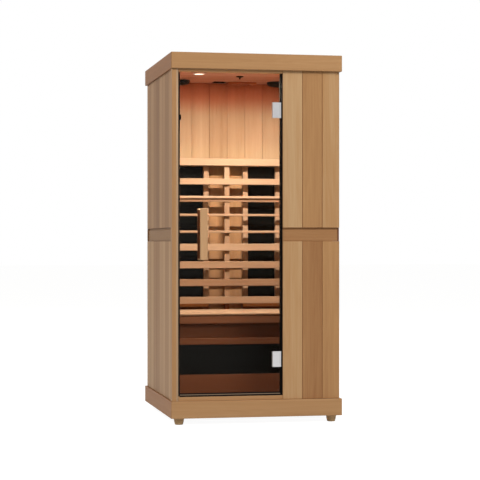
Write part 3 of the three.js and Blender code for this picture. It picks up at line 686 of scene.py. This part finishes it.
def speaker(side):
    node = f"speaker_{side}"
    centre, radius = fromCeiling(node)
    drop, rim, ridges = speakerLook["drop"], speakerLook["rim"], speakerLook["ridges"]
    edge = speakerLook["round"]
    profile = widened([(0.98, -hairline), (1, -edge), (1, edge - rim), (0.965, -rim)], radius)
    for index in range(ridges):  # grille rings over a dome
        for share, sink in speakerLook["ridge"]:
            reach = speakerLook["reach"] * (1 - (index + share) / ridges)
            rise = math.sqrt(max(0, 1 - reach * reach)) ** speakerLook["bulge"]
            profile.append((radius * reach, -rim - (drop - rim) * rise + sink * speakerLook["sink"]))
    profile.append((0, -drop))
    bm = newMesh()
    turned(bm, profile, centre, steps=48)
    finished(bm, node + "_dome", blackPlastic, [node], flat=False)


sensorLook = {
    "tip": [(0, 0), (0.002, 0.0003), (0.0036, 0.0018), (0.0042, 0.0043)],  # radius, height over the tip
    "stem": [(0.0042, -0.009), (0.0064, -0.0066)],
    "cap": [(0.82, -0.0058), (0.95, -0.0048), (1, -0.003), (1, -hairline), (0, -hairline)],
}


def sensor():
    node = "temperature_sensor"
    centre, radius = fromCeiling(node)
    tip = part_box(node)[0].z - centre.z
    profile = [(reach, tip + height) for reach, height in sensorLook["tip"]]
    bm = newMesh()
    turned(bm, profile + sensorLook["stem"] + widened(sensorLook["cap"], radius), centre, steps=36)
    finished(bm, node + "_probe", blackPlastic, [node], flat=False)


supplyLook = {
    "lip": 0.008, "dip": 0.001, "edge": 0.0008, "ribs": 9, "ribPitch": 0.0175, "ribMargin": 0.030,
    "ribHalf": 0.003, "ribSink": 0.002, "ribRise": 0.0005, "ribEdge": 0.0006,
}


def supply():
    bm = nodeCopy("power_supply")
    top = max(bm.faces, key=lambda face: face.calc_center_median().z)
    bmesh.ops.inset_region(bm, faces=[top], thickness=supplyLook["lip"], depth=0)
    bmesh.ops.inset_region(bm, faces=[top], thickness=supplyLook["dip"], depth=-supplyLook["dip"])
    soften(bm, sharpRims(bm), supplyLook["edge"], 1)
    paint(bm, 0.5)
    low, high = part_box("power_supply")
    margin, half = supplyLook["ribMargin"], supplyLook["ribHalf"]
    bottom, top = high.z - supplyLook["ribSink"], high.z + supplyLook["ribRise"]
    for index in range(supplyLook["ribs"]):  # cooling ribs
        x = low.x + margin + index * supplyLook["ribPitch"]
        block(bm, (x - half, low.y + margin, bottom), (x + half, high.y - margin, top), supplyLook["ribEdge"],
              segments=1)
    finished(bm, "power_supply_case", blackPlastic, ["power_supply"])


inletLook = {
    "edge": 0.0008, "pins": ((-0.007, 0.0015), (0, -0.003), (0.007, 0.0015)), "pinHalf": (0.001, 0.002),
    "pinRoot": 0.004, "pinTip": 0.006, "pinEdge": 0.0004, "screwMargin": 0.0028, "screwRadius": 0.0022,
}


def inlet():
    eased("power_inlet", blackPlastic, inletLook["edge"], segments=1)
    low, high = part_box("power_inlet")
    middle = (low + high) / 2
    wide, tall = inletLook["pinHalf"]
    root, tip, margin = low.y + inletLook["pinRoot"], high.y - inletLook["pinTip"], inletLook["screwMargin"]
    bm = newMesh()
    for x, z in inletLook["pins"]:
        block(bm, (middle.x + x - wide, root, middle.z + z - tall),
              (middle.x + x + wide, tip, middle.z + z + tall), inletLook["pinEdge"], segments=1)
    for x in (low.x + margin, high.x - margin):
        screw(bm, (x, high.y, middle.z), (0, 1, 0), inletLook["screwRadius"])
    finished(bm, "power_inlet_pins", boltSteel)


lampUnit()
speaker("left")
speaker("right")
sensor()
supply()
inlet()
eased("light_strip", stripWhite, edge=0.0022, segments=3)
print("fittings made")

handleLook = {  # the inner bar's value comes first in a pair
    "thickness": 0.020, "round": 0.0078, "endRound": (0.007, 0.0035), "tone": (0.5, 0.6), "highlightFrom": 0.2,
    "footRadius": 0.009, "footSpacing": 0.19, "footSink": 0.012, "footNeck": 0.72,
    "foot": [(0, 0), (0.94, 0), (1, 0.0008), (1, 0.0025), (0.72, 0.0034)],
}


def handle(node, front):
    low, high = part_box(node)
    if front:
        high.y = low.y + handleLook["thickness"]
    else:
        low.y = high.y - handleLook["thickness"]
    bm = newMesh()
    rims = cuboid(bm, low, high)
    upright = [rim for rim in rims if abs(rim.verts[0].co.z - rim.verts[1].co.z) > 0.01]
    soften(bm, upright, handleLook["round"], 5)
    ends = [rim for rim in bm.edges if abs(rim.verts[0].co.z - rim.verts[1].co.z) < 1e-5]
    soften(bm, ends, handleLook["endRound"][front], 3)
    paint(bm, handleLook["tone"][front])
    layer = bm.faces.layers.float["tone"]
    bm.normal_update()
    for face in bm.faces:  # painted shade and highlight: the inner bar is dark wood, its ends pale
        if not front and abs(face.normal.z) > handleLook["highlightFrom"]:
            face.material_index, face[layer] = 1, 1
    woodsUsed = [wood("handle", "z")] if front else [wood("benchFront", "z"), wood("handle", "z")]
    finished(bm, node + "_bar", woodsUsed, [node], "door")

    glassLow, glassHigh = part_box("door_glass")
    sink = handleLook["footSink"]
    start, end = (glassLow.y - hairline, low.y + sink) if front else (glassHigh.y + hairline, high.y - sink)
    length, turn, middle = abs(end - start), -1 if front else 1, (low + high) / 2
    profile = handleLook["foot"] + [(handleLook["footNeck"], length), (0, length)]
    bm = newMesh()
    for z in (-0.5, 0.5):
        turned(bm, widened(profile, handleLook["footRadius"]),
               (middle.x, start, middle.z + z * handleLook["footSpacing"]), (0, turn, 0), 28)
    finished(bm, node + "_standoffs", boltSteel, body="door", flat=False)


edging = {
    "edge": 0.0008, "sealEdge": 0.0006, "reach": 0.0066, "lap": 0.0014, "lip": 0.001, "inset": 0.0004,
    "sweep": 0.0045, "blade": 0.0042, "bladeInset": 0.001, "profile": 0.003, "band": 0.007,
    "flange": 0.0022, "flangeInset": 0.0006,
}


def glassPane():
    bm = nodeCopy("door_glass")
    soften(bm, sharpRims(bm), edging["edge"], 1)
    paint(bm, 0.5)
    for face in bm.faces:
        face.material_index = 0 if abs(face.normal.y) > 0.9 else 1
    finished(bm, "door_glass_pane", [doorGlass, glassEdge], ["door_glass"], "door")

    low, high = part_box("door_glass")
    front, back, edge = low.y - edging["lip"], high.y + edging["lip"], edging["sealEdge"]
    sweep = low.z + edging["sweep"]
    band = sweep + edging["profile"]
    inset, bladeInset = edging["inset"], edging["bladeInset"]
    bm = newMesh()  # a black seal on the free edge, a blade under the bottom edge and a band over its profile; the sweep and blade are partly a seal and partly painted shade of the gap under the door, the band is painted shade of the deck's foot behind the glass
    block(bm, (low.x - edging["reach"], front, low.z), (low.x + edging["lap"], high.y - inset, high.z),
          edging["edge"])
    block(bm, (low.x, front, low.z - inset), (high.x, back, sweep), edge)
    block(bm, (low.x, low.y + bladeInset, low.z - edging["blade"]), (high.x, high.y - bladeInset, low.z),
          edge)
    block(bm, (low.x, front, band), (high.x, back, band + edging["band"]), edge)
    finished(bm, "door_edge_seal", sealRubber, body="door")
    bm = newMesh()
    block(bm, (low.x, front, sweep), (high.x, back, band), edge)
    finished(bm, "door_bottom_profile", profileBronze, body="door")


hingeLook = {
    "parts": (("leaf", 0.0006, "cabin"), ("clamp", 0.0008, "door")),  # name, edge and body
    "blackFrom": 0.1315, "screwInset": 0.014, "screwShares": (0.25, 0.75), "screwRadius": 0.0042,
}


def hinge(level):
    for part, edge, body in hingeLook["parts"]:
        node = f"hinge_{level}_{part}"
        bm = nodeCopy(node)
        soften(bm, sharpRims(bm), edge)
        paint(bm, 0.5)
        parted(bm, 0, hingeLook["blackFrom"])  # black beside the jamb
        finished(bm, node + "_eased", [hingeNickel, leafBlack], [node], body)
    low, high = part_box(f"hinge_{level}_clamp")
    bm = newMesh()
    for share in hingeLook["screwShares"]:
        z = low.z + (high.z - low.z) * share
        screw(bm, (low.x + hingeLook["screwInset"], high.y, z), (0, 1, 0), hingeLook["screwRadius"])
    finished(bm, f"hinge_{level}_screws", boltSteel, body="door", flat=False)


glassPane()
hinge("upper")
hinge("lower")
handle("handle_outer", True)
handle("handle_inner", False)
eased("door_seal", sealRubber, edge=0.0022, segments=3)
sealLow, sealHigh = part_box("door_seal")
flange = newMesh()  # its flat lip lines the jamb up to the panel's front
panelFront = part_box("front_panel_boards")[0].y
block(flange, (sealHigh.x - edging["flange"], panelFront + edging["flangeInset"], sealLow.z),
      (sealHigh.x, sealLow.y, sealHigh.z), edge=0.0005, segments=1)
finished(flange, "door_seal_flange", sealRubber)
eased("door_catch", blackPlastic, edge=0.0016)
print("door hung")

bench = {
    "boards": 4, "gap": 0.008, "thickness": 0.020, "nose": 0.0092, "tones": (0.32, 0.52), "edge": 0.0015,
    "apron": 0.012, "apronSetback": 0.003, "apronTone": 0.62, "ledgerDepth": 0.022, "ledgerHeight": 0.040,
    "cleatX": 0.2835, "cleatHalf": 0.020, "cleatHeight": 0.018, "cleatTone": 0.4,
    "panel": 0.020, "kickHeight": 0.1017, "kickTone": 0.6, "railBottom": 0.392, "railTop": 0.426,
    "railTone": 0.45, "shadeBelow": 0.602,
}


def benchSeat():
    low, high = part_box("bench_seat")
    pitch = (high.y - low.y + bench["gap"]) / bench["boards"]
    bm = newMesh()
    for index in range(bench["boards"]):
        start = low.y + index * pitch
        block(bm, (low.x, start, high.z - bench["thickness"]), (high.x, start + pitch - bench["gap"], high.z),
              bench["nose"], chance.uniform(*bench["tones"]), 4)
    under, front = high.z - bench["thickness"], low.y + bench["apronSetback"]
    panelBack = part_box("bench_front_panel")[1].y + hairline
    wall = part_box("back_wall_lining")[0].y
    half, edge, tone = bench["cleatHalf"], bench["edge"], bench["cleatTone"]
    for x in (-bench["cleatX"], 0, bench["cleatX"]):
        block(bm, (x - half, panelBack, under - bench["cleatHeight"]), (x + half, wall - hairline, under),
              edge, tone)
    top = under - hairline
    block(bm, (low.x, wall, top - bench["ledgerHeight"]), (high.x, wall + bench["ledgerDepth"], top),
          edge, tone)
    finished(bm, "bench_seat_boards", wood("bench", "x"), ["bench_seat"])
    # painted shade: the apron is in the dark benchFront wood
    bm = newMesh()
    block(bm, (low.x, front, low.z), (high.x, front + bench["apron"], under), edge, bench["apronTone"])
    finished(bm, "bench_apron", wood("benchFront", "x"))


def benchFront():
    low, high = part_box("bench_front_panel")
    face, edge = high.y - bench["panel"], bench["edge"]
    bm = newMesh()
    block(bm, (low.x, face, low.z), high, edge)
    block(bm, low, (high.x, face, low.z + bench["kickHeight"]), edge, bench["kickTone"])
    block(bm, (low.x, low.y, bench["railBottom"]), (high.x, face, bench["railTop"]), edge, bench["railTone"])
    # painted shade: the bench front is in the dark benchFront wood
    finished(bm, "bench_front_boards", wood("benchFront", "x"), ["bench_front_panel"])


heaterLook = {"edge": 0.001, "rim": 0.007, "slope": 0.001, "dip": 0.0012}


def heater(node):
    bm = newMesh()
    soften(bm, cuboid(bm, *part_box(node)), heaterLook["edge"])
    front = min(bm.faces, key=lambda face: face.calc_center_median().y - face.calc_area())
    bmesh.ops.inset_region(bm, faces=[front], thickness=heaterLook["rim"], depth=0)
    bmesh.ops.inset_region(bm, faces=[front], thickness=heaterLook["slope"], depth=-heaterLook["dip"])
    paint(bm, 0.5)
    finished(bm, node + "_panel", heaterBlack, [node])


guard = {
    "slats": [  # middle height, height and tone
        (0.622, 0.040, 0.26), (0.724, 0.040, 0.09), (0.826, 0.040, 0.26), (0.928, 0.040, 0.48),
        (1.017, 0.014, 0.40), (1.114, 0.014, 0.30), (1.307, 0.035, 0.55),
    ],
    "stepped": (1.207, 0.034),
    "step": (0.012, 0.020),
    # the lower lip's low tone adds painted shade under the upper lip
    "steppedTones": (0.55, 0.05),
    "stepEdge": 0.0015,
    "thickness": 0.018,
    "slatEdge": 0.003,
    "batten": 0.030,
    "battenEdge": 0.002,
    "battenTones": (0.5, 0.7),
    "litAbove": 1.307,
    "battenShade": 0.3,
    "frameEdge": 0.0015,
    "frameTone": 0.4,
    "topRailTone": 0.62,
}


def backrest():
    low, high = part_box("backrest_guard")
    back, edge = low.y + guard["thickness"], guard["slatEdge"]
    bm = newMesh()
    for middle, height, tone in guard["slats"]:
        block(bm, (low.x, low.y, middle - height / 2), (high.x, back, middle + height / 2), edge, tone, 3)
    middle, height = guard["stepped"]
    stepDepth, stepHeight = guard["step"]
    upperTone, lowerTone = guard["steppedTones"]
    bottom, top = middle - height / 2, middle + height / 2
    block(bm, (low.x, low.y, bottom + stepHeight), (high.x, back, top), edge, upperTone, 3)
    block(bm, (low.x, low.y + stepDepth, bottom), (high.x, back, top - edge), guard["stepEdge"], lowerTone)
    finished(bm, "backrest_slats", wood("bench", "x"), ["backrest_guard"])
    bm = newMesh()
    half, edge, split = guard["batten"] / 2, guard["battenEdge"], guard["litAbove"]
    for x in (low.x + half, 0, high.x - half):
        tone = chance.uniform(*guard["battenTones"])  # palest above the first slat: painted shade makes each batten darker below it
        block(bm, (x - half, back, low.z), (x + half, high.y, split), edge, tone - guard["battenShade"])
        block(bm, (x - half, back, split), (x + half, high.y, high.z), edge, tone)
    shadedFoot(bm)
    finished(bm, "backrest_battens", [wood("bench", "z"), wood("shaded", "z")])


def shadedFoot(bm):  # painted shade: what stands below the lowest slat gets the dark shaded wood
    parted(bm, 2, bench["shadeBelow"], above=False)


benchSeat()
benchFront()
backrest()
for node in ("calf_heater", "back_heater_left", "back_heater_right"):
    heater(node)
for side in ("left", "right"):
    frameNode = f"heater_frame_{side}"
    bm = nodeCopy(frameNode)
    soften(bm, sharpRims(bm), guard["frameEdge"])
    paint(bm, guard["frameTone"])
    shadedFoot(bm)
    finished(bm, frameNode + "_eased", [wood("bench", "z"), wood("shaded", "x")], [frameNode])
eased("heater_top_rail", wood("bench", "x"), guard["frameEdge"], guard["topRailTone"])
print("bench and backrest made")

digits = {"0": "abcdef", "3": "abgcd", "4": "fgbc", "5": "afgcd"}
controls = {
    "reading": "4530", "digitX": (0.036, 0.019, -0.019, -0.036), "digitHeight": 0.022, "digitWidth": 0.011,
    "stroke": 0.0022, "digitFaces": (0.0003, 0.0006), "barEdge": 0.0001, "panelEdge": 0.0009,
    "margin": 0.0125, "windowHeight": 0.039, "windowFaces": (-0.0006, 0.0004), "windowEdge": 0.0003,
    "recess": 0.001, "capEdge": 0.0004, "signDepths": (0.0007, 0.0001),
    "cap": [(1, 0.0012), (0.9, 0.0002), (0.78, 0), (0.4, 0.0004), (0, 0.0005)],  # share of the radius, depth
}


def bar(bm, low, high):
    pairs = list(zip(low, high))
    block(bm, [min(pair) for pair in pairs], [max(pair) for pair in pairs], controls["barEdge"], segments=1)


def display(low, high):
    face, margin = high.y - controls["recess"], controls["margin"]
    top = high.z - margin
    sunk, raised = [face + depth for depth in controls["windowFaces"]]
    bm = newMesh()
    block(bm, (low.x + margin, sunk, top - controls["windowHeight"]), (high.x - margin, raised, top),
          controls["windowEdge"], segments=1)
    finished(bm, "control_display", displayBlack)
    bm = newMesh()
    wide, tall, stroke = controls["digitWidth"], controls["digitHeight"], controls["stroke"]
    middle = top - controls["windowHeight"] / 2
    sunk, raised = [face + depth for depth in controls["digitFaces"]]
    for digit, x in zip(controls["reading"], controls["digitX"]):  # seen from inside, so left is +x
        left, right = (low.x + high.x) / 2 + x + wide / 2, (low.x + high.x) / 2 + x - wide / 2
        bottom, top = middle - tall / 2, middle + tall / 2
        strokes = {
            "a": (left, right, top - stroke, top), "d": (left, right, bottom, bottom + stroke),
            "g": (left, right, middle - stroke / 2, middle + stroke / 2),
            "f": (left, left - stroke, middle, top), "e": (left, left - stroke, bottom, middle),
            "b": (right + stroke, right, middle, top), "c": (right + stroke, right, bottom, middle),
        }
        for name in digits[digit]:
            x0, x1, z0, z1 = strokes[name]
            bar(bm, (x0, sunk, z0), (x1, raised, z1))
    finished(bm, "control_digits", displayGlow, flat=False)


def button(node, symbol):
    low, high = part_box(node)
    middle, radius = (low + high) / 2, (high.x - low.x) / 2
    length, edge = high.y - low.y, controls["capEdge"]
    profile = [(0, 0), (radius - edge, 0), (radius, edge)]
    profile += [(radius * share, length - depth) for share, depth in controls["cap"]]
    bm = newMesh()
    turned(bm, profile, (middle.x, low.y, middle.z), (0, 1, 0))
    finished(bm, node + "_cap", buttonGrey, [node], node + "_cap", flat=False)
    bm = newMesh()
    start, end = [high.y - depth for depth in controls["signDepths"]]
    for x0, x1, z0, z1 in symbol:
        bar(bm, (middle.x + x0, start, middle.z + z0), (middle.x + x1, end, middle.z + z1))
    finished(bm, node + "_sign", blackPlastic, body=node + "_cap", flat=False)


eased("control_panel", blackPlastic, controls["panelEdge"], segments=1)
display(*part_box("control_panel"))
line = 0.0005  # half the width of a sign's thin strokes
signs = {  # left, right, bottom and top of each stroke
    "power_button": [(-line, line, 0, 0.0042), (-0.0032, -0.0024, -0.003, 0.002),
                     (0.0024, 0.0032, -0.003, 0.002), (-0.0032, 0.0032, -0.0035, -0.0027)],
    "light_button": [(-0.0012, 0.0012, -0.0012, 0.0012), (-0.004, -0.0024, -line, line),
                     (0.0024, 0.004, -line, line), (-line, line, 0.0024, 0.004),
                     (-line, line, -0.004, -0.0024)],
    "warmer_button": [(-0.004, 0.004, -line, line), (-line, line, -0.004, 0.004)],
    "cooler_button": [(-0.004, 0.004, -line, line)],
}
for node, symbol in signs.items():
    button(node, symbol)
print("controls made")

view = {"lens": 118.65, "place": (-1.7529, -8.6220, 0.9503), "turn": -11.46, "shift": (0.0025, 0.0070)}
camera = bpy.data.objects.new("camera", bpy.data.cameras.new("camera"))
camera.data.lens = view["lens"]
camera.data.sensor_width = 36
camera.data.shift_x, camera.data.shift_y = view["shift"]
camera.location = view["place"]
camera.rotation_euler = (math.radians(90), 0, math.radians(view["turn"]))
scene.collection.objects.link(camera)
scene.camera = camera
scene.view_settings.view_transform = "Standard"

light = {
    "world": 0.2, "worldColour": (1, 0.955, 0.88, 1), "colour": (1, 0.97, 0.92), "size": (3.2, 3.2),
    "lamps": {  # place and watts
        "keyLamp": ((2.2, -6.8, 7.2), 655),
        "fillLamp": ((-8.0, -3.4, 6.6), 412),
        "backLamp": ((5.0, 7.6, 6.6), 600),
    },
    "strip": {"drop": 0.002, "share": 0.66, "depth": 0.02, "watts": 52, "colour": (1, 0.975, 0.95)},
    "ceiling": {"drop": 0.007, "size": (0.05, 0.05), "watts": 1.5},
    "floorGlow": 0.95, "floorShade": 0.2, "floorBounce": 0.5, "floorSize": 60,
}


def lamp(name, place, aim, size, power, colour=(1, 1, 1)):
    data = bpy.data.lights.new(name, "AREA")
    data.shape = "RECTANGLE"
    data.size, data.size_y = size
    data.energy = power
    data.color = colour
    made = bpy.data.objects.new(name, data)
    made.location = place
    made.rotation_euler = (Vector(aim) - Vector(place)).to_track_quat("-Z", "Y").to_euler()
    made.visible_camera = False
    made.visible_glossy = False
    scene.collection.objects.link(made)


for name, (place, watts) in light["lamps"].items():
    lamp(name, place, (0, 0, 1), light["size"], watts, light["colour"])
stripLow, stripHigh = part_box("light_strip")
stripMiddle, strip = (stripLow + stripHigh) / 2, light["strip"]
lamp("stripLamp", (stripMiddle.x, stripMiddle.y, stripLow.z - strip["drop"]),
     (stripMiddle.x, stripMiddle.y, 0), ((stripHigh.x - stripLow.x) * strip["share"], strip["depth"]), strip["watts"], strip["colour"])
lampCentre, spot = fromCeiling("ceiling_lamp")[0], light["ceiling"]
lamp("ceilingLamp", lampCentre - Vector((0, 0, spot["drop"])), lampCentre - Vector((0, 0, 1)),
     spot["size"], spot["watts"])


def seenRays(finish):  # camera, mirror and glass rays, which see plain white
    path = finish.tree.nodes.new("ShaderNodeLightPath")
    kinds = ("Is Camera Ray", "Is Glossy Ray", "Is Transmission Ray")
    rays = [Wire(finish, path.outputs[kind]) for kind in kinds]
    return rays[0].sum("MAXIMUM", rays[1]).sum("MAXIMUM", rays[2])


class WorldFinish(Finish):
    def __init__(self, name):
        self.material = bpy.data.worlds.new(name)
        self.material.use_nodes = True
        self.tree = self.material.node_tree


studio = WorldFinish("studio")
scene.world = studio.material
soft = studio.node("ShaderNodeBackground", None, {"Color": light["worldColour"], "Strength": light["world"]})
white = studio.node("ShaderNodeBackground", None, {"Color": (1, 1, 1, 1), "Strength": 1})
backdrop = studio.node("ShaderNodeMixShader", None, {0: seenRays(studio), 1: soft, 2: white})
studio.feed(studio.tree.nodes["World Output"], {"Surface": backdrop})

floorFinish = Finish("paleFloor", {})
bounce = floorFinish.node("ShaderNodeBsdfDiffuse", None, {"Color": (light["floorBounce"],) * 3 + (1,)})
shade = floorFinish.node("ShaderNodeBsdfDiffuse", None, {"Color": (light["floorShade"],) * 3 + (1,)})
glow = floorFinish.node("ShaderNodeEmission", None, {"Color": (1, 1, 1, 1), "Strength": light["floorGlow"]})
paleWhite = floorFinish.node("ShaderNodeAddShader", None, {0: shade, 1: glow})
floorMix = floorFinish.node("ShaderNodeMixShader", None, {0: seenRays(floorFinish), 1: bounce, 2: paleWhite})
floorFinish.feed(floorFinish.tree.nodes["Material Output"], {"Surface": floorMix})
floorMesh = bpy.data.meshes.new("floor")
bm = bmesh.new()
bmesh.ops.create_grid(bm, x_segments=4, y_segments=4, size=light["floorSize"])
bm.to_mesh(floorMesh)
bm.free()
floorMesh.materials.append(floorFinish.material)
floor = bpy.data.objects.new("floor", floorMesh)
scene.collection.objects.link(floor)
print("studio lit")
